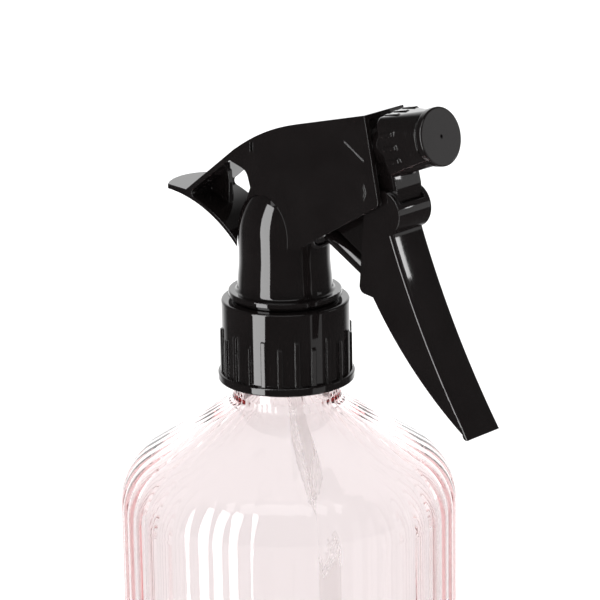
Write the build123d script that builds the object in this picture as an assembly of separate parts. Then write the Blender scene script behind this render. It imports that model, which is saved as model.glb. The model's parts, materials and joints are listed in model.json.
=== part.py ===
from build123d import *
import os
from math import cos, pi, radians, sin, tan

# Hand mister: a reeded bottle with a screw-on trigger sprayer.
# Millimetres. +Z is up, +X is the way the nozzle points, and the origin is the
# centre of the bottle's base. The object is symmetric about Y = 0 apart from its
# threads and the nozzle cap, which rests turned a few degrees.

# ---------------------------------------------------------------- bottle
BODY_R = 41.5          # over the reeds
WALL = 2.6
BASE_THICK = 5.0
REEDS, REED_DEPTH = 48, 0.25
SHOULDER_SLOPE = 33.0  # degrees below the horizontal
SHOULDER_R = 16.0      # bend between the side and the shoulder
CLOSURE_BASE = 128.0   # height of the closure's lower edge: the head's zero height
NECK_R, NECK_FILLET = 13.1, 3.0   # plain neck under the closure
BASE_CORNER_R = 4.0
FINISH_ROOT_R, FINISH_CREST_R = 12.7, 13.75   # threaded finish
MOUTH_R = 10.8
INNER_BASE_R, INNER_NECK_FILLET = 6.0, 3.0
LIP_Z = 14.95          # above CLOSURE_BASE, as are all heights from here on

# ---------------------------------------------------------------- closure
THREAD_PITCH = 4.23    # six threads per inch, the pitch of a 28 mm finish
THREAD_TURNS = 1.5
SKIRT_R, CLOSURE_H, CEILING = 15.65, 20.3, 2.25
FLANGE_R, FLANGE_H = 16.75, 2.0
CLOSURE_BORE_R, CLOSURE_THREAD_R = 14.05, 13.05
GRIP_RIBS = 24         # tall and short by turns
RIB_HIGH, RIB_HALF_WIDTH = 0.55, 0.55
TALL_RIB_TOP, SHORT_RIB_TOP = 13.4, 11.6
GASKET_R, GASKET_H = 12.5, 1.45

# ---------------------------------------------------------------- sprayer head
HEAD_LOW = 20.45       # the head's underside, just clear of the closure
RING_R, RING_LOW, RING_TOP = 13.85, 21.3, 22.6
UNDERCUT_R = 12.9
COLUMN_R = 11.15
DOME_START, DOME_RADIUS, DOME_TOP = 37.0, 16.0, 49.0
SPIGOT_R, SPIGOT_BORE_R = 9.3, 7.9
CAVITY_R, CAVITY_CORE_R, CAVITY_TOP = 9.55, 4.5, 33.0
RUNNING_GAP = 0.04     # between the pump's seals and its bore

NOZZLE_TILT = 14.5     # degrees above the horizontal
NOZZLE_FACE = (49.7, 68.3)
CAP_LENGTH, CAP_RIM, CAP_RIM_R = 12.2, 1.8, 6.95
CAP_HALF_SIDE, CAP_REST_TURN = 7.2, 4.5
CAP_FRONT_SIDE, CAP_REAR_CORNER, CAP_FRONT_CORNER = 12.95, 2.6, 6.4
CAP_BORE_R, CAP_THREAD_R, SEAL_TRACK_R, CAP_NECK_R = 4.95, 4.2, 4.75, 4.3
SPRAY_HOLE_R, SEAL_PLACE = 0.4, -5.2
NOZZLE_PITCH = 2.5     # every place along the nozzle is measured back from its face
COLLAR_R, COLLAR_REAR, COLLAR_FRONT = 5.8, -16.95, -12.6
STEM_R, STEM_THREAD_R, STEM_BORE_R, STEM_TIP = 3.9, 4.65, 2.4, -3.5
SPOUT_R, SPOUT_REAR = 1.4, -20.0
SPINNER_R, SPINNER_REAR = 2.35, -6.7
VALVE_R, VALVE_STEM_R, VALVE_SEAT = 2.1, 0.9, -13.0
BLOCK_SIDE, BLOCK_HEIGHT, BLOCK_REAR, BLOCK_FRONT = 13.0, 11.4, -20.5, -17.0
BARREL_R, BARREL_BORE_R, BARREL_REAR = 3.3, 1.5, -50.5

SIDE_TOP, SIDE_LOW = (6.9, 72.0), (7.9, 34.0)   # shroud half-widths, at two heights
SHELL = 1.2
ROOF_SLOPE, TAIL_SLOPE = 14.2, 38.0
ROOF_POINT, TAIL_BEND = (12.0, 66.7), (-25.5, 44.5)
TAIL_ARC_CENTRE, TAIL_ARC_R, TAIL_FLOOR = (-33.8, 8.0), 35.8, 0.9

PIVOT = (36.3, 48.8)   # trigger pivot, X and Z
BOSS_R = 5.5
TRIGGER_HALF = 5.7
EAR_GAP_HALF = 4.5
LUG_R, STUD_R, STUD_GAP = 4.2, 2.0, 0.06

# ---------------------------------------------------------------- pump
PUSH_BAR = (31.0, 30.0)   # where the pump's axis meets the trigger's cross bar
PUMP_TILT = 30.0          # the pump's axis rises this much towards the back
PUMP_BORE_R, PUMP_OUTER_R = 4.6, 5.6
PUMP_MOUTH, PUMP_END = 19.0, 32.2   # along the pump's axis from the cross bar
ROD_R, BAR_R = 2.05, 1.7
PISTON_R, PISTON_NECK_R, PISTON_BORE_R = 4.2, 3.4, 2.8
PISTON_LOW, PISTON_TOP = 19.4, 23.8
VENT_LOW, CUP_LOW = 19.9, 22.0      # lower edges of the piston's two seal grooves
VENT_H, CUP_H = 1.2, 2.15

TUBE_R, TUBE_BORE_R, TUBE_TOP = 2.1, 1.4, 21.95
SOCKET_LOW = 12.0
TUBE_LEAN = 11.7
BALL_R = 2.0
SEAT_Z, SEAT_R = 25.5, 1.4
VALVE_BORE_R, VALVE_ROOF = 2.6, 29.8   # the inlet valve's chamber in the body
POST_R = 3.4

nozzle_dir = Vector(cos(radians(NOZZLE_TILT)), 0, sin(radians(NOZZLE_TILT)))
nozzle_plane = Plane(origin=(NOZZLE_FACE[0], 0, NOZZLE_FACE[1]), x_dir=(0, 1, 0), z_dir=nozzle_dir)
pump_dir = Vector(-cos(radians(PUMP_TILT)), 0, sin(radians(PUMP_TILT)))
pump_plane = Plane(origin=(PUSH_BAR[0], 0, PUSH_BAR[1]), x_dir=(0, 1, 0), z_dir=pump_dir)


# ---------------------------------------------------------------- helpers
def flat_outline(corners):
    """A face in its own x and y from (x, y) corners, rounded where a third number gives a radius."""
    face = make_face(Polyline(*[corner[:2] for corner in corners], close=True))
    for corner in corners:
        if len(corner) == 3:
            vertex = face.vertices().sort_by_distance((corner[0], corner[1], 0))[0]
            face = fillet(vertex, corner[2])
    return face


def side_slab(corners, low, high=None):
    """A slab whose side view is the outline: between Y = -low and low, or from low to high."""
    face = Plane.XZ * flat_outline(corners)
    if high is None:
        return extrude(face, low, both=True)
    return Pos(0, high, 0) * extrude(face, high - low)


def turned(corners):
    """A solid of revolution about Z from (radius, z) corners."""
    return revolve(Plane.XZ * flat_outline(corners), Axis.Z)


def disc(radius, low, high):
    """A cylinder about Z between two heights."""
    return Pos(0, 0, low) * Cylinder(radius, high - low, align=(Align.CENTER, Align.CENTER, Align.MIN))


def tube(outer, inner, low, high):
    return disc(outer, low, high) - disc(inner, low - 1, high + 1)


def cross_disc(centre, radius, half):
    """A cylinder along Y, centred on Y = 0, at an (x, z) centre."""
    return Pos(centre[0], 0, centre[1]) * Rot(90, 0, 0) * Cylinder(radius, 2 * half)


def thread(root, crest, pitch, turns, root_width, crest_width, start):
    """One helical ridge of trapezoid section, rooted a little inside its wall."""
    outward = 1 if crest > root else -1
    mean = (root + crest) / 2
    path = Pos(0, 0, start) * Helix(pitch=pitch, height=pitch * turns, radius=mean)
    section = Plane(origin=path @ 0, x_dir=(1, 0, 0), z_dir=path % 0) * make_face(Polyline(
        (root - outward * 0.3 - mean, -root_width / 2), (crest - mean, -crest_width / 2),
        (crest - mean, crest_width / 2), (root - outward * 0.3 - mean, root_width / 2), close=True))
    return sweep(section, path=path, is_frenet=True)


def coil(mean, wire, low, high, turns):
    """A compression spring about Z."""
    path = Pos(0, 0, low + wire) * Helix(pitch=(high - low - 2 * wire) / turns,
                                         height=high - low - 2 * wire, radius=mean)
    return sweep(Plane(origin=path @ 0, x_dir=(1, 0, 0), z_dir=path % 0) * Circle(wire),
                 path=path, is_frenet=True)


def ring(mean, radius, height):
    return Pos(0, 0, height) * Torus(mean, radius)


# ---------------------------------------------------------------- bottle
def shoulder_height(radius, wall=0.0):
    """Height of the shoulder's cone at a radius, lowered by a wall thickness."""
    slope = radians(SHOULDER_SLOPE)
    return CLOSURE_BASE - 6.8 - (radius - 16.0) * tan(slope) - wall / cos(slope)


def reeded_slice(radius, height):
    """A level slice of the reeded glass: one outward arc per reed, shallower where the bottle narrows."""
    valley = radius * (1 - REED_DEPTH / BODY_R)
    arcs = []
    for k in range(REEDS):
        left, middle, right = [2 * pi * (k + part) / REEDS for part in (0, 0.5, 1)]
        arcs.append(ThreePointArc(
            (valley * cos(left), valley * sin(left)), (radius * cos(middle), radius * sin(middle)),
            (valley * cos(right), valley * sin(right))))
    return Pos(0, 0, height) * make_face(arcs)


def shoulder_arcs():
    """(radius, height) points up the bend above the side, and up the fillet into the neck."""
    turn = radians(90 - SHOULDER_SLOPE)
    bend_z = shoulder_height(BODY_R) - SHOULDER_R * tan(turn / 2)
    fillet_r = NECK_R + NECK_FILLET
    fillet_z = shoulder_height(NECK_R) + NECK_FILLET * tan(turn / 2)
    bend = [(BODY_R - SHOULDER_R * (1 - cos(turn * k / 6)), bend_z + SHOULDER_R * sin(turn * k / 6))
            for k in range(7)]
    fillet_arc = [(fillet_r - NECK_FILLET * cos(turn * k / 4), fillet_z - NECK_FILLET * sin(turn * k / 4))
                  for k in range(4, -1, -1)]
    return bend, fillet_arc


def make_shoulder():
    """The bend, the straight cone and the fillet, each lofted through level slices of its own."""
    bend, fillet_arc = shoulder_arcs()
    stretches = [loft([reeded_slice(radius, height) for radius, height in points])
                 for points in (bend, [bend[-1], fillet_arc[0]], fillet_arc)]
    return stretches[0] + stretches[1] + stretches[2]


def make_bottle():
    lip = CLOSURE_BASE + LIP_Z
    neck_top = CLOSURE_BASE - 0.6
    inner_r = BODY_R - WALL
    bend, fillet_arc = shoulder_arcs()
    bend_low, fillet_top = bend[0][1], fillet_arc[-1][1]
    side = extrude(reeded_slice(BODY_R, 0), bend_low)
    side &= turned([(0, 0), (BODY_R, 0, BASE_CORNER_R), (BODY_R, lip), (0, lip)])
    neck = turned([
        (0, fillet_top - 1), (NECK_R - 0.05, fillet_top - 1), (NECK_R - 0.05, neck_top, 0.25),
        (FINISH_ROOT_R, neck_top), (FINISH_ROOT_R, lip, 0.5), (0, lip)])
    inside = turned([
        (0, BASE_THICK), (inner_r, BASE_THICK, INNER_BASE_R),
        (inner_r, shoulder_height(inner_r, WALL), SHOULDER_R - WALL),
        (MOUTH_R, shoulder_height(MOUTH_R, WALL), INNER_NECK_FILLET), (MOUTH_R, lip + 1), (0, lip + 1)])
    finish_thread = thread(FINISH_ROOT_R, FINISH_CREST_R, THREAD_PITCH, THREAD_TURNS,
                           2.1, 1.0, CLOSURE_BASE + 5.2)
    return side + make_shoulder() + neck - inside + finish_thread


# ---------------------------------------------------------------- closure and seals
def make_closure():
    ceiling = CLOSURE_H - CEILING
    shell = turned([
        (CLOSURE_BORE_R, 0), (FLANGE_R, 0, 0.4), (FLANGE_R, FLANGE_H, 0.35), (SKIRT_R, FLANGE_H + 0.3),
        (SKIRT_R, CLOSURE_H, 0.5), (SPIGOT_R + 0.3, CLOSURE_H),
        (SPIGOT_R + 0.3, ceiling), (CLOSURE_BORE_R, ceiling)])
    for k in range(GRIP_RIBS):
        top = TALL_RIB_TOP if k % 2 else SHORT_RIB_TOP
        root, face, low = SKIRT_R - 0.3, SKIRT_R + RIB_HIGH, FLANGE_H - 0.5
        rib = side_slab([(root, low), (face, low), (face, top, 0.5), (root, top)], RIB_HALF_WIDTH)
        shell += Rot(0, 0, (k + 0.5) * 360 / GRIP_RIBS) * rib
    inner_thread = thread(CLOSURE_BORE_R, CLOSURE_THREAD_R, THREAD_PITCH, THREAD_TURNS, 1.5, 0.8, 3.05)
    return shell + inner_thread


def make_gasket():
    return tube(GASKET_R, MOUTH_R - 0.4, LIP_Z, LIP_Z + GASKET_H)


def make_retainer():
    """Snaps into the head from below, holds the dip tube and carries the inlet valve's seat."""
    low, high = LIP_Z + GASKET_H, CLOSURE_H - CEILING - 0.05
    flange = disc(GASKET_R, low, high)
    plug = tube(SPIGOT_BORE_R - 0.05, SPIGOT_BORE_R - 1.5, high - 0.1, SEAT_Z + 0.5)
    post = disc(POST_R, high - 0.1, SEAT_Z + 1.4)
    socket = disc(TUBE_R + 1.5, SOCKET_LOW, low + 0.1)
    body = flange + plug + post + socket
    body -= disc(TUBE_R, SOCKET_LOW - 1, TUBE_TOP + 0.05)
    body -= disc(SEAT_R, TUBE_TOP - 1, SEAT_Z + 1)
    body -= disc(BALL_R + 0.4, SEAT_Z, SEAT_Z + 5)
    for side in (-1, 1):
        vent = Pos(0, side * 5.0, 0) * disc(0.6, low - 1, high + 1)
        body -= vent
    return body


def make_inlet_ball():
    rest = SEAT_Z + (BALL_R ** 2 - SEAT_R ** 2) ** 0.5 + 0.02
    return Pos(0, 0, rest) * Sphere(BALL_R)


def make_dip_tube():
    """Straight in its socket, then leaning forward to the front of the bottle's base."""
    bend_z, foot_z = 9.0, BASE_THICK + 3.0 - CLOSURE_BASE
    foot_x = (bend_z - foot_z) * tan(radians(TUBE_LEAN))
    path = FilletPolyline((0, 0, TUBE_TOP), (0, 0, bend_z), (foot_x, 0, foot_z), radius=30.0)
    wall = sweep(Plane(origin=path @ 0, z_dir=path % 0) * Circle(TUBE_R), path=path)
    bore = sweep(Plane(origin=path @ 0, z_dir=path % 0) * Circle(TUBE_BORE_R), path=path)
    return wall - bore


# ---------------------------------------------------------------- sprayer body
def make_column(grow=0.0):
    """Undercut, ring, flared column and domed top, optionally grown all round."""
    rise = DOME_TOP - DOME_START
    inset = DOME_RADIUS - (DOME_RADIUS ** 2 - rise ** 2) ** 0.5
    middle_inset = DOME_RADIUS - (DOME_RADIUS ** 2 - (rise / 2) ** 2) ** 0.5
    under, ring_r, column = UNDERCUT_R + grow, RING_R + grow, COLUMN_R + grow
    outline = Wire([
        Line((0, HEAD_LOW), (under, HEAD_LOW)), Line((under, HEAD_LOW), (under, RING_LOW)),
        Line((under, RING_LOW), (ring_r, RING_LOW)), Line((ring_r, RING_LOW), (ring_r, RING_TOP - 0.3)),
        ThreePointArc((ring_r, RING_TOP - 0.3), (ring_r - 0.09, RING_TOP - 0.09), (ring_r - 0.3, RING_TOP)),
        Line((ring_r - 0.3, RING_TOP), (column + 1.1, RING_TOP)),
        Spline((column + 1.1, RING_TOP), (column + 0.4, 24.4), (column, 31.0), tangents=((-1, 0.25), (0, 1))),
        Line((column, 31.0), (column, DOME_START)),
        ThreePointArc((column, DOME_START), (column - middle_inset, DOME_START + rise / 2),
                      (column - inset, DOME_TOP)),
        Line((column - inset, DOME_TOP), (0, DOME_TOP)), Line((0, DOME_TOP), (0, HEAD_LOW))])
    return revolve(Plane.XZ * make_face(outline), Axis.Z)


def make_sprayer_body():
    px, pz = PIVOT
    block = nozzle_plane * Pos(0, 0, (BLOCK_REAR + BLOCK_FRONT) / 2) * Box(
        BLOCK_HEIGHT, BLOCK_SIDE, BLOCK_FRONT - BLOCK_REAR)
    barrel = nozzle_plane * disc(BARREL_R, BARREL_REAR, BLOCK_REAR + 1)
    cylinder = pump_plane * disc(PUMP_OUTER_R, PUMP_MOUTH, PUMP_END + 1.2)
    bracket = side_slab([
        (31.8, 57.5), (31.8, pz + 2.0), (px - 2.0, pz + 1.0), (px + 2.0, pz + 1.0), (px + 3.7, pz + 2.8),
        (39.9, 55.0), (38.5, 60.5), (33.5, 62.0)], EAR_GAP_HALF - 0.2)
    lug = cross_disc(PIVOT, LUG_R, EAR_GAP_HALF - 0.2)
    rib = side_slab([
        (-2.0, 44.0), (12.0, 42.0), (16.5, 41.3), (29.5, 33.8), (30.8, 35.5), (32.5, 50.0), (34.0, 62.0),
        (3.0, 57.0), (-2.0, 50.0)], 0.8)
    body = make_column() + disc(SPIGOT_R, CLOSURE_H - CEILING, HEAD_LOW + 0.1)
    body += cylinder + barrel + block + bracket + lug + rib
    body -= disc(SPIGOT_BORE_R, CLOSURE_H - CEILING - 1, 22.0)
    body -= tube(CAVITY_R, CAVITY_CORE_R, 22.0, CAVITY_TOP)
    body -= disc(POST_R + 0.05, 21.0, SEAT_Z + 1.5)
    body -= disc(VALVE_BORE_R, SEAT_Z + 1.4, VALVE_ROOF)
    intake = disc(1.4, VALVE_ROOF - 1, 43.5)
    body -= intake
    body -= pump_plane * disc(PUMP_BORE_R, PUMP_MOUTH - 1, PUMP_END)
    delivery = Pos(4.6, 0, 0) * disc(1.2, 47.5, 56.6)
    body -= delivery
    body -= nozzle_plane * disc(BARREL_BORE_R, BARREL_REAR + 3.5, COLLAR_REAR + 1)
    body -= nozzle_plane * disc(STEM_R + 0.1, SPOUT_REAR, COLLAR_REAR + 1)
    body -= nozzle_plane * disc(COLLAR_R + 0.1, COLLAR_REAR, COLLAR_FRONT)
    body -= cross_disc(PIVOT, STUD_R + STUD_GAP, EAR_GAP_HALF + 1)
    return body


# ---------------------------------------------------------------- shroud with its tail
def roof_z(x, depth=0.0):
    slope = radians(ROOF_SLOPE)
    return ROOF_POINT[1] + (x - ROOF_POINT[0]) * tan(slope) - depth / cos(slope)


def tail_top_z(x, depth=0.0):
    slope = radians(TAIL_SLOPE)
    return TAIL_BEND[1] + (x - TAIL_BEND[0]) * tan(slope) - depth / cos(slope)


def roof_corner(depth=0.0):
    """Where the roof's line and the tail's line meet, both lowered by depth."""
    roof, tail = tan(radians(ROOF_SLOPE)), tan(radians(TAIL_SLOPE))
    x = (roof_z(0, depth) - tail_top_z(0, depth)) / (tail - roof)
    return (x, roof_z(x, depth), 58.0 - depth)


def side_wedge(inset, low=20.0, high=80.0):
    """The space between the shroud's two slightly splayed sides."""
    slope = (SIDE_TOP[0] - SIDE_LOW[0]) / (SIDE_TOP[1] - SIDE_LOW[1])
    half_low = SIDE_LOW[0] + (low - SIDE_LOW[1]) * slope - inset
    half_high = SIDE_LOW[0] + (high - SIDE_LOW[1]) * slope - inset
    face = Plane.YZ * flat_outline([(-half_low, low), (half_low, low), (half_high, high), (-half_high, high)])
    return extrude(face, 70.0, both=True)


def make_tail():
    """The hook behind the column: a sloping top, a curved floor under it and a web between them."""
    blank = side_slab([
        (-9.0, tail_top_z(-9.0)), (TAIL_BEND[0], TAIL_BEND[1], 0.8), (-36.0, 45.1), (-36.0, 30.0),
        (-7.0, 30.0), (-7.0, 36.0), (-10.0, 50.0)], 10.0)
    opening = side_slab([
        (0.0, tail_top_z(0.0, SHELL)), (-40.0, tail_top_z(-40.0, SHELL)), (-40.0, 0.0), (0.0, 0.0)], 10.0)
    opening -= cross_disc(TAIL_ARC_CENTRE, TAIL_ARC_R + TAIL_FLOOR, 12.0)
    opening = max(opening.solids(), key=lambda solid: solid.center().X)
    inner_corner = opening.edges().filter_by(Axis.Y).sort_by(Axis.X)[0]
    opening = fillet(inner_corner, 1.0)
    web = side_slab([(-40.0, 30.0), (-17.9, 30.0), (-17.4, 46.0), (-18.4, 60.0), (-40.0, 60.0)], 0.6)
    return blank - cross_disc(TAIL_ARC_CENTRE, TAIL_ARC_R, 12.0) - (opening - web)


def make_side_marks():
    """A low slanted ridge and a lozenge, moulded on the -Y side near the front."""
    lean = (SIDE_LOW[0] - SIDE_TOP[0]) / (SIDE_TOP[1] - SIDE_LOW[1])
    side_plane = Plane(origin=(0, -SIDE_LOW[0], SIDE_LOW[1]), x_dir=(1, 0, 0), z_dir=(0, -1, lean))
    ridge = flat_outline([(26.1, 30.9), (25.9, 30.5), (32.1, 26.7), (32.3, 27.1)])
    lozenge = flat_outline([(32.3, 21.7), (31.5, 19.6), (32.3, 17.5), (33.1, 19.6)])
    buried = Pos(0, 0, -0.1)
    return side_plane * (buried * (extrude(ridge, 0.25, taper=30) + extrude(lozenge, 0.35, taper=40)))


def make_shroud():
    front_top, front_low = (32.3, roof_z(32.3)), (36.9, 51.1, 1.2)
    sides = side_slab([
        front_top, roof_corner(), (-12.5, tail_top_z(-12.5)), (-12.5, tail_top_z(-12.5, SHELL)), (-10.6, 54.2),
        (-5.2, 52.6, 3.0),
        (-3.9, 48.6), (-5.4, 45.0), (0.0, 40.0), (6.0, 35.5), (11.1, 35.7), front_low], 10.0)
    hollow = side_slab([
        (60.0, roof_z(60.0, SHELL)), roof_corner(SHELL), (-12.8, tail_top_z(-12.8, SHELL)), (-6.0, 43.0),
        (0.0, 25.0), (60.0, 25.0)], 10.0) & side_wedge(SHELL)
    plan = extrude(make_face([
        ThreePointArc((-31.4, -7.9), (-34.4, 0), (-31.4, 7.9)), Line((-31.4, 7.9), (-31.4, 12)),
        Line((-31.4, 12), (60, 12)), Line((60, 12), (60, -12)), Line((60, -12), (-31.4, -12)),
        Line((-31.4, -12), (-31.4, -7.9))]), 100.0)
    tail = make_tail()
    shroud = ((sides - hollow) + tail) & side_wedge(0.0) & plan
    shroud -= make_column(0.15)
    shroud -= disc(COLUMN_R + 0.25, 20.0, 36.0) & side_slab([(-20, 20), (0, 20), (0, 37), (-20, 37)], 12.0)
    for side in (-1, 1):
        window = Pos(-3.4, side * 8.0, 58.7) * Box(1.0, 3.2, 2.2)
        shroud -= window
    marks = make_side_marks()
    return shroud + marks + mirror(marks, about=Plane.XZ)


# ---------------------------------------------------------------- trigger
def make_trigger():
    px, pz = PIVOT
    bar = (PUSH_BAR[0], PUSH_BAR[1])
    bar_low = bar[1] - BAR_R - 0.05
    front = [(39.6, 43.4), (50.4, 19.7), (62.7, -0.8)]
    lever = make_face([
        Line((30.8, pz), (30.1, 40.0)), Line((30.1, 40.0), (bar[0] - 1.75, bar[1] + 0.4)),
        ThreePointArc((bar[0] - 1.75, bar[1] + 0.4), (bar[0] - 1.3, bar[1] - 1.2), (bar[0], bar_low)),
        Line((bar[0], bar_low), (33.4, 27.9)),
        ThreePointArc((33.4, 27.9), (44.6, 13.7), (60.6, -0.1)),
        ThreePointArc((60.6, -0.1), (61.9, -1.3), front[2]),
        ThreePointArc(*reversed(front)), Line(front[0], (px + 1.5, pz)), Line((px + 1.5, pz), (30.8, pz))])
    blank = extrude(Plane.XZ * lever, TRIGGER_HALF, both=True)
    front_edges = [blank.edges().sort_by_distance((front[1][0], side * TRIGGER_HALF, front[1][1]))[0]
                   for side in (-1, 1)]
    solid = fillet(front_edges, 0.9) + cross_disc(PIVOT, BOSS_R, TRIGGER_HALF)
    hollow = make_face([
        Line((10.0, 60.0), (10.0, 5.0)), Line((10.0, 5.0), (52.0, -2.0)), Line((52.0, -2.0), (59.2, 2.2)),
        ThreePointArc((59.2, 2.2), (49.0, 19.2), (38.2, 42.9)), Line((38.2, 42.9), (px + 3.0, pz - 3.15)),
        ThreePointArc((px + 3.0, pz - 3.15), (px + 4.35, pz), (px + 3.77, pz + 2.17)),
        Line((px + 3.77, pz + 2.17), (px + 6.5, pz + 3.75)), Line((px + 6.5, pz + 3.75), (px + 6.5, 60.0)),
        Line((px + 6.5, 60.0), (10.0, 60.0))])
    solid -= extrude(Plane.XZ * hollow, EAR_GAP_HALF, both=True)
    solid += cross_disc(PUSH_BAR, BAR_R, TRIGGER_HALF - 0.5)
    for side in (-1, 1):
        stud = cross_disc(PIVOT, STUD_R, (EAR_GAP_HALF - 1.5) / 2)
        solid += Pos(0, side * (EAR_GAP_HALF + 1.6) / 2, 0) * stud
    for x, z, length in ((44.4, 20.6, 8.0), (49.8, 11.6, 6.4)):
        rib = Pos(x, 0, z) * Rot(0, 30, 0) * Box(length, 2 * EAR_GAP_HALF + 0.4, 1.0)
        solid += rib & blank
    return solid


# ---------------------------------------------------------------- pump
def make_piston_rod():
    rod = disc(ROD_R, BAR_R + 0.06, PISTON_LOW + 0.5)
    head = disc(PISTON_R, PISTON_LOW, PISTON_TOP)
    seal_grooves = tube(PUMP_OUTER_R, PISTON_NECK_R, VENT_LOW, VENT_LOW + VENT_H)
    seal_grooves += tube(PUMP_OUTER_R, PISTON_NECK_R, CUP_LOW, PISTON_TOP + 1)
    return pump_plane * (rod + head - seal_grooves - disc(PISTON_BORE_R, VENT_LOW + 1, PISTON_TOP + 1))


def make_vent_seal():
    low, high = VENT_LOW + 0.05, VENT_LOW + VENT_H - 0.05
    return pump_plane * tube(PUMP_BORE_R - RUNNING_GAP, PISTON_NECK_R + 0.02, low, high)


def make_piston_seal():
    low, high = CUP_LOW + 0.05, CUP_LOW + CUP_H - 0.05
    cup = tube(PUMP_BORE_R - RUNNING_GAP, PISTON_NECK_R + 0.02, low, high)
    cup -= Pos(0, 0, high - 1.2) * Cone(3.9, 4.35, 1.3, align=(Align.CENTER, Align.CENTER, Align.MIN))
    return pump_plane * cup


def make_piston_spring():
    return pump_plane * coil(PISTON_BORE_R - 0.5, 0.25, VENT_LOW + 1.05, PUMP_END - 0.05, 6)


# ---------------------------------------------------------------- nozzle
def make_nozzle_base():
    """Collar and threaded stem, spigoted into the front block."""
    body = disc(COLLAR_R, COLLAR_REAR, COLLAR_FRONT)
    body += disc(STEM_R, COLLAR_FRONT - 0.4, STEM_TIP)
    body += disc(STEM_R + 0.05, SPOUT_REAR, COLLAR_REAR + 0.05)
    body += thread(STEM_R, STEM_THREAD_R, NOZZLE_PITCH, 1.4, 1.0, 0.5, COLLAR_FRONT + 1)
    body -= disc(STEM_BORE_R, VALVE_SEAT, STEM_TIP + 1)
    body -= disc(SPOUT_R, SPOUT_REAR - 1, VALVE_SEAT + 1)
    return nozzle_plane * body


def make_outlet_valve():
    low = VALVE_SEAT + 0.02
    return nozzle_plane * (disc(VALVE_R, low, low + 1.08) + disc(VALVE_STEM_R, low + 1, low + 3.4))


def make_outlet_spring():
    return nozzle_plane * coil(1.55, 0.2, VALVE_SEAT + 1.12, SPINNER_REAR - 0.02, 5)


def make_spinner():
    body = disc(SPINNER_R, SPINNER_REAR, STEM_TIP)
    for k in range(4):
        feed_slot = Pos(SPINNER_R - 0.15, 0, SPINNER_REAR + 1.6) * Box(0.8, 0.8, 4.0)
        swirl_slot = Pos(1.6, 0.6, STEM_TIP) * Box(2.0, 0.4, 0.6)
        body -= Rot(0, 0, 90 * k) * feed_slot
        body -= Rot(0, 0, 90 * k) * swirl_slot
    swirl_chamber = disc(0.9, STEM_TIP - 0.5, STEM_TIP + 0.5)
    return nozzle_plane * (body - swirl_chamber)


def make_nozzle_seal():
    """Sits in the cap and slides along the stem as the cap is screwed in and out."""
    section = (SEAL_TRACK_R - STEM_R) / 2 - 0.035
    return nozzle_plane * ring((SEAL_TRACK_R + STEM_R) / 2, section, SEAL_PLACE)


def make_grip():
    """Rounded square at the back, nearly round where it meets the rim, with three low ribs on each side."""
    rear = RectangleRounded(2 * CAP_HALF_SIDE, 2 * CAP_HALF_SIDE, CAP_REAR_CORNER)
    front = RectangleRounded(CAP_FRONT_SIDE, CAP_FRONT_SIDE, CAP_FRONT_CORNER)
    grip = loft([Pos(0, 0, -CAP_LENGTH) * rear, Pos(0, 0, -CAP_RIM - 0.5) * front])
    rib = side_slab([(CAP_HALF_SIDE - 1.0, -CAP_LENGTH), (CAP_HALF_SIDE + 0.15, -CAP_LENGTH),
                     (CAP_HALF_SIDE, -8.4), (CAP_HALF_SIDE - 1.0, -7.0)], 0.45)
    for k in range(4):
        for offset in (-3.2, 0.0, 3.2):
            grip += Rot(0, 0, 90 * k) * Pos(0, offset, 0) * rib
    return grip


def make_nozzle_cap():
    rim = disc(CAP_RIM_R, -CAP_RIM, 0)
    rim = fillet(rim.edges().filter_by(GeomType.CIRCLE), 0.35)
    neck = disc(CAP_FRONT_SIDE / 2 - 0.175, -CAP_RIM - 1.0, -CAP_RIM + 0.1)
    cap = make_grip() + rim + neck
    cap -= disc(CAP_BORE_R, -CAP_LENGTH - 1, SEAL_PLACE - 1)
    cap -= disc(SEAL_TRACK_R, SEAL_PLACE - 1.1, SEAL_PLACE + 0.42)
    cap -= disc(CAP_NECK_R, SEAL_PLACE + 0.3, STEM_TIP + 0.2)
    cap -= disc(1.2, STEM_TIP + 0.1, -CAP_RIM + 0.2)
    cap -= disc(SPRAY_HOLE_R, -CAP_RIM - 0.2, 1.0)
    cap += Rot(0, 0, 50) * thread(CAP_BORE_R, CAP_THREAD_R, NOZZLE_PITCH, 1.2, 1.0, 0.5, -CAP_LENGTH + 2.23)
    return nozzle_plane * (Rot(0, 0, CAP_REST_TURN) * cap)


# ---------------------------------------------------------------- write one file per piece
head_pieces = {
    "closure": make_closure,
    "gasket": make_gasket,
    "retainer": make_retainer,
    "inlet_ball": make_inlet_ball,
    "dip_tube": make_dip_tube,
    "sprayer_body": make_sprayer_body,
    "shroud": make_shroud,
    "trigger": make_trigger,
    "piston_rod": make_piston_rod,
    "vent_seal": make_vent_seal,
    "piston_seal": make_piston_seal,
    "piston_spring": make_piston_spring,
    "nozzle_base": make_nozzle_base,
    "outlet_valve": make_outlet_valve,
    "outlet_spring": make_outlet_spring,
    "spinner": make_spinner,
    "nozzle_seal": make_nozzle_seal,
    "nozzle_cap": make_nozzle_cap,
}

os.makedirs("parts", exist_ok=True)
export_step(make_bottle(), "parts/bottle.step")
for name, make in head_pieces.items():
    export_step(Pos(0, 0, CLOSURE_BASE) * make(), f"parts/{name}.step")
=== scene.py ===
import bpy
import json
from math import cos, pi, radians, sin
from mathutils import Matrix, Vector


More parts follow.
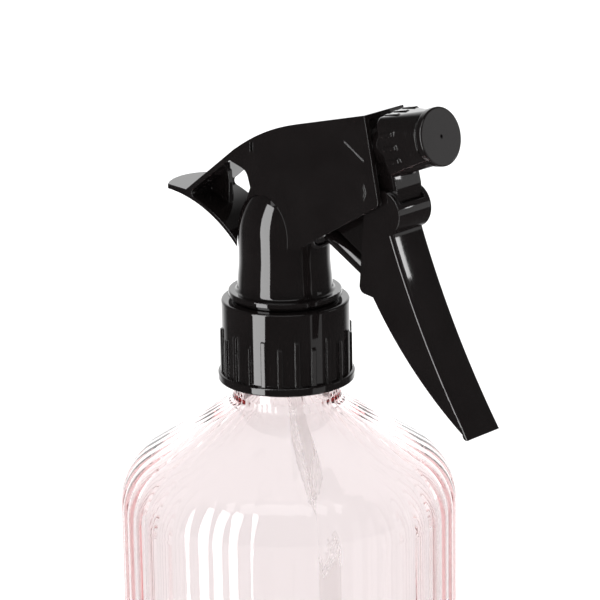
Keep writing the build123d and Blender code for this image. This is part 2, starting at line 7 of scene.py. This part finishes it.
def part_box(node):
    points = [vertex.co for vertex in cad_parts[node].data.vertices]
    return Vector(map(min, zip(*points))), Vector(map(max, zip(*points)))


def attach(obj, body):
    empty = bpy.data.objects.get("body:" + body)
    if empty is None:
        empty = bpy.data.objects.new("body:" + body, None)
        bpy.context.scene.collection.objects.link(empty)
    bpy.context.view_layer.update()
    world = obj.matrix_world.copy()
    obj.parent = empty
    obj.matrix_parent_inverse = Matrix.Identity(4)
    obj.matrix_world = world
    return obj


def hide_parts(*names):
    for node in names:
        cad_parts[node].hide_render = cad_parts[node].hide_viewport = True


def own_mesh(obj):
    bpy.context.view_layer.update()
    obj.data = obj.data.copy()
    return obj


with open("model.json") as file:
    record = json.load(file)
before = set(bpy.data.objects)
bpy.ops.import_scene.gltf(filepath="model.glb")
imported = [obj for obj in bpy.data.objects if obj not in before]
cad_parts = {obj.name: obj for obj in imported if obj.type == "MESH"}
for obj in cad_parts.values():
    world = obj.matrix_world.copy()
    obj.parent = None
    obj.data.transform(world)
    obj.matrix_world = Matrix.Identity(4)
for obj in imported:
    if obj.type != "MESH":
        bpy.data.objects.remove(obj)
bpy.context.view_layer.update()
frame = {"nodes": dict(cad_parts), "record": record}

CLOSURE_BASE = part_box("closure")[0].z
EDGE_RADIUS = 0.0003       # what a mould leaves on the black plastic's edges
NOISE_RANGE = (0.3, 0.7)   # where nearly all of a noise's values lie


# ---------------------------------------------------------------- node helpers
class NodeTree:
    """A material's or world's node tree, emptied, with short ways to add and join nodes."""

    def __init__(self, owner):
        owner.use_nodes = True
        self.tree = owner.node_tree
        self.tree.nodes.clear()

    def add(self, kind, **settings):
        node = self.tree.nodes.new(kind)
        for key, value in settings.items():
            setattr(node, key, value)
        return node

    def join(self, source, target):
        self.tree.links.new(source, target)


class Nodes(NodeTree):
    """A material's nodes."""

    def __init__(self, name):
        self.material = bpy.data.materials.new(name)
        super().__init__(self.material)
        self.output = self.add("ShaderNodeOutputMaterial")

    def shader(self, **sockets):
        """The Principled shader, joined to the output, its plain numbers set on its sockets."""
        node = self.add("ShaderNodeBsdfPrincipled")
        for key, value in sockets.items():
            node.inputs[key.replace("_", " ")].default_value = value
        self.join(node.outputs["BSDF"], self.output.inputs["Surface"])
        return node

    def noise(self, scale, detail=2.0, stretch=(1, 1, 1)):
        coordinates = self.add("ShaderNodeTexCoord")
        mapping = self.add("ShaderNodeMapping")
        mapping.inputs["Scale"].default_value = stretch
        self.join(coordinates.outputs["Object"], mapping.inputs["Vector"])
        node = self.add("ShaderNodeTexNoise")
        node.inputs["Scale"].default_value = scale
        node.inputs["Detail"].default_value = detail
        self.join(mapping.outputs["Vector"], node.inputs["Vector"])
        return node.outputs["Fac"]

    def spread(self, value, low, high):
        """Maps a noise onto low to high."""
        node = self.add("ShaderNodeMapRange")
        node.inputs["From Min"].default_value, node.inputs["From Max"].default_value = NOISE_RANGE
        node.inputs["To Min"].default_value = low
        node.inputs["To Max"].default_value = high
        self.join(value, node.inputs["Value"])
        return node.outputs["Result"]

    def blend_colours(self, value, first, second):
        node = self.add("ShaderNodeMix", data_type="RGBA")
        node.inputs["A"].default_value = (*first, 1)
        node.inputs["B"].default_value = (*second, 1)
        self.join(value, node.inputs["Factor"])
        return node.outputs["Result"]

    def soft_edges(self, radius):
        """The small round that a mould leaves on every edge."""
        node = self.add("ShaderNodeBevel", samples=6)
        node.inputs["Radius"].default_value = radius
        return node.outputs["Normal"]

    def bump(self, height, distance, strength=1.0, under=None):
        node = self.add("ShaderNodeBump")
        node.inputs["Distance"].default_value = distance
        node.inputs["Strength"].default_value = strength
        self.join(height, node.inputs["Height"])
        if under is not None:
            self.join(under, node.inputs["Normal"])
        return node.outputs["Normal"]


# ---------------------------------------------------------------- materials
def moulded_plastic(name, dark, light, gloss_low, gloss_high, grain):
    """Injection-moulded plastic: slow flow waves, fine grain and uneven gloss."""
    nodes = Nodes(name)
    shader = nodes.shader(IOR=1.49)
    flow = nodes.noise(45.0)
    fine = nodes.noise(1800.0, 3.0)
    smudge = nodes.noise(120.0, 4.0)
    nodes.join(nodes.blend_colours(nodes.spread(smudge, 0, 1), dark, light),
               shader.inputs["Base Color"])
    nodes.join(nodes.spread(smudge, gloss_low, gloss_high), shader.inputs["Roughness"])
    waves = nodes.bump(flow, 0.00008, 0.08, nodes.soft_edges(EDGE_RADIUS))
    nodes.join(nodes.bump(fine, grain, 0.3, waves), shader.inputs["Normal"])
    return nodes.material


def pink_glass():
    """Tinted soda glass: the colour is in the thickness, with slight drawn waves in the surface."""
    nodes = Nodes("pink_glass")
    shader = nodes.shader(IOR=1.5, Transmission_Weight=1.0, Roughness=0.0)
    cloud = nodes.noise(20.0)
    nodes.join(nodes.blend_colours(nodes.spread(cloud, 0, 1), (0.985, 0.97, 0.972), (0.995, 0.985, 0.987)),
               shader.inputs["Base Color"])
    waves = nodes.noise(150.0, 1.0, (1, 1, 0.06))
    nodes.join(nodes.bump(waves, 0.0002, 0.04), shader.inputs["Normal"])
    tint = nodes.add("ShaderNodeVolumeAbsorption")
    tint.inputs["Color"].default_value = (1.0, 0.5, 0.5, 1)
    tint.inputs["Density"].default_value = 28.0
    nodes.join(tint.outputs["Volume"], nodes.output.inputs["Volume"])
    return nodes.material


def spring_steel():
    nodes = Nodes("spring_steel")
    shader = nodes.shader(Metallic=1.0)
    drawn = nodes.noise(900.0, 2.0)
    nodes.join(nodes.blend_colours(drawn, (0.42, 0.42, 0.43), (0.68, 0.68, 0.69)),
               shader.inputs["Base Color"])
    nodes.join(nodes.spread(drawn, 0.18, 0.34), shader.inputs["Roughness"])
    nodes.join(nodes.bump(drawn, 0.00002, 0.4), shader.inputs["Normal"])
    return nodes.material


def translucent_tube():
    nodes = Nodes("tube_plastic")
    shader = nodes.shader(IOR=1.3, Transmission_Weight=0.97)
    haze = nodes.noise(150.0, 3.0)
    nodes.join(nodes.blend_colours(haze, (0.95, 0.94, 0.94), (0.99, 0.985, 0.98)),
               shader.inputs["Base Color"])
    nodes.join(nodes.spread(haze, 0.0, 0.04), shader.inputs["Roughness"])
    return nodes.material


MATERIALS = {
    "pink_glass": pink_glass(),
    "black_plastic": moulded_plastic(
        "black_plastic", (0.0036, 0.0028, 0.0028), (0.0052, 0.0042, 0.0042), 0.02, 0.04, 0.0000002),
    "inner_plastic": moulded_plastic(
        "inner_plastic", (0.70, 0.70, 0.68), (0.80, 0.80, 0.78), 0.3, 0.42, 0.00002),
    "tube_plastic": translucent_tube(),
    "seal_rubber": moulded_plastic(
        "seal_rubber", (0.02, 0.02, 0.02), (0.04, 0.04, 0.04), 0.6, 0.8, 0.00005),
    "steel": spring_steel(),
}
for part in frame["record"]["subparts"]:
    for slot in frame["nodes"][part["node"]].material_slots:
        slot.material = MATERIALS[part["material_slot"]]


# ---------------------------------------------------------------- springs
def make_spring(node):
    """The CAD spring's coil as a piece of its own, carried with the head."""
    piece = bpy.data.objects.new(node + "_coil", frame["nodes"][node].data.copy())
    bpy.context.scene.collection.objects.link(piece)
    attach(piece, "head")
    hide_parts(node)
    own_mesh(piece)


make_spring("piston_spring")
make_spring("outlet_spring")


# ---------------------------------------------------------------- stage
CAMERA_AZIMUTH, CAMERA_ELEVATION, CAMERA_DISTANCE, CAMERA_ROLL = 43.0, 18.4, 0.8, 0.93
LENS, SENSOR_WIDTH = 196.0, 36.0             # millimetres
CAMERA_AIM = (-0.00136, 0.00671, 0.01755)    # from the middle of the closure's lower edge
FLOOR_RADIUS, FLOOR_DROP = 6.0, 0.0002
ROOM_POWER, GLASS_POWER, BACKDROP_POWER, BACKDROP_ELEVATION = 1.45, 1.0, 1.75, 2.0
GLOSS_FADE = (0.55, 0.99, 0.045, 1.0)        # dot products towards the far side, then greys
GLASS_FADE = (-0.4, 0.3, 0.08, 1.68)
TRIGGER_FRONT = (0.0414, -0.0046, 0.0390)    # from the middle of the closure's lower edge
MAX_BOUNCES, GLOSSY_BOUNCES, TRANSMISSION_BOUNCES = 24, 16, 20   # enough for light to leave the glass


def direction(azimuth, elevation):
    """Unit vector towards a place round the object: azimuth 0 is the -Y side, 90 is the +X side."""
    a, e = radians(azimuth), radians(elevation)
    return Vector((sin(a) * cos(e), -cos(a) * cos(e), sin(e)))


def make_floor():
    bpy.ops.mesh.primitive_circle_add(
        vertices=96, radius=FLOOR_RADIUS, fill_type="NGON", location=(0, 0, -FLOOR_DROP))
    floor = bpy.context.object
    floor.name = "floor"
    nodes = Nodes("floor_paper")
    shader = nodes.shader(Roughness=0.9)
    fibre = nodes.noise(400.0, 3.0)
    nodes.join(nodes.blend_colours(fibre, (0.97, 0.97, 0.97), (0.99, 0.99, 0.99)),
               shader.inputs["Base Color"])
    floor.data.materials.append(nodes.material)
    floor.visible_glossy = False
    floor.visible_shadow = False


class World(NodeTree):
    """The studio round the object: what plain light, glass and gloss each see of it."""

    def __init__(self):
        world = bpy.data.worlds.new("studio")
        super().__init__(world)
        self.place = self.add("ShaderNodeTexCoord").outputs["Generated"]
        ray = self.add("ShaderNodeLightPath")
        plain = self.background(ROOM_POWER)
        through_glass = self.background(GLASS_POWER, self.fade(*GLASS_FADE))
        reflected = self.background(BACKDROP_POWER, self.fade(*GLOSS_FADE))
        after_glass = self.add("ShaderNodeMath", operation="GREATER_THAN")
        self.join(ray.outputs["Transmission Depth"], after_glass.inputs[0])
        after_glass.inputs[1].default_value = 0.5
        surroundings = self.mix(ray.outputs["Is Glossy Ray"], plain, reflected)
        surroundings = self.mix(after_glass.outputs["Value"], surroundings, through_glass)
        output = self.add("ShaderNodeOutputWorld")
        self.join(surroundings, output.inputs["Surface"])
        bpy.context.scene.world = world

    def fade(self, near_dot, far_dot, near_grey, far_grey):
        """A grey that changes from the near side of the room to the far side."""
        towards_back = self.add("ShaderNodeVectorMath", operation="DOT_PRODUCT")
        towards_back.inputs[1].default_value = direction(CAMERA_AZIMUTH + 180, BACKDROP_ELEVATION)
        self.join(self.place, towards_back.inputs[0])
        node = self.add("ShaderNodeMapRange", interpolation_type="SMOOTHSTEP")
        node.inputs["From Min"].default_value = near_dot
        node.inputs["From Max"].default_value = far_dot
        node.inputs["To Min"].default_value = near_grey
        node.inputs["To Max"].default_value = far_grey
        self.join(towards_back.outputs["Value"], node.inputs["Value"])
        return node.outputs["Result"]

    def background(self, power, grey=None):
        """Light from all round, white unless a grey is given."""
        node = self.add("ShaderNodeBackground")
        node.inputs["Color"].default_value = (1, 1, 1, 1)
        node.inputs["Strength"].default_value = power
        if grey is not None:
            self.join(grey, node.inputs["Color"])
        return node.outputs["Background"]

    def mix(self, factor, first, second):
        node = self.add("ShaderNodeMixShader")
        self.join(factor, node.inputs["Fac"])
        self.join(first, node.inputs[1])
        self.join(second, node.inputs[2])
        return node.outputs["Shader"]


def make_softbox(name, centre, azimuth, elevation, distance, size, radiance, roll=0.0):
    """A panel that only gloss sees, placed round a centre and facing it."""
    light = bpy.data.lights.new(name, "AREA")
    light.shape = "RECTANGLE"
    light.size, light.size_y = size
    light.energy = radiance * pi * size[0] * size[1]
    box = bpy.data.objects.new(name, light)
    bpy.context.scene.collection.objects.link(box)
    box.location = centre + direction(azimuth, elevation) * distance
    facing = (centre - box.location).to_track_quat("-Z", "Y").to_matrix()
    box.rotation_euler = (facing @ Matrix.Rotation(radians(roll), 3, "Z")).to_euler()
    box.visible_camera = False
    box.visible_transmission = False
    box.visible_diffuse = False


def make_softboxes():
    neck = Vector((0, 0, CLOSURE_BASE))
    make_softbox("key_softbox", neck, azimuth=-5.5, elevation=9, distance=0.42,
                 size=(0.185, 0.65), radiance=8.5)
    make_softbox("rear_softbox", neck, azimuth=98, elevation=-12, distance=0.6,
                 size=(0.24, 0.9), radiance=0.6)
    make_softbox("side_softbox", neck, azimuth=132, elevation=4, distance=0.6,
                 size=(0.16, 0.2), radiance=0.7)
    make_softbox("top_softbox", neck, azimuth=35, elevation=62, distance=0.6,
                 size=(0.62, 0.2), radiance=1.6)
    make_softbox("trigger_strip", neck + Vector(TRIGGER_FRONT), azimuth=138.5, elevation=14.3,
                 distance=0.12, size=(0.002, 0.0056), radiance=11, roll=-18.0)


def make_camera():
    """Looks down on the closure from the nozzle's near side with a long lens."""
    neck = Vector((0, 0, CLOSURE_BASE))
    camera = bpy.data.objects.new("camera", bpy.data.cameras.new("camera"))
    bpy.context.scene.collection.objects.link(camera)
    camera.data.lens, camera.data.sensor_width = LENS, SENSOR_WIDTH
    camera.location = neck + direction(CAMERA_AZIMUTH, CAMERA_ELEVATION) * CAMERA_DISTANCE
    look = (neck + Vector(CAMERA_AIM) - camera.location).to_track_quat("-Z", "Y")
    camera.rotation_euler = (look.to_matrix() @ Matrix.Rotation(radians(-CAMERA_ROLL), 3, "Z")).to_euler()
    bpy.context.scene.camera = camera


make_floor()
World()
make_softboxes()
make_camera()
bpy.context.scene.view_settings.view_transform = "Standard"
bpy.context.scene.cycles.max_bounces = MAX_BOUNCES
bpy.context.scene.cycles.glossy_bounces = GLOSSY_BOUNCES
bpy.context.scene.cycles.transmission_bounces = TRANSMISSION_BOUNCES
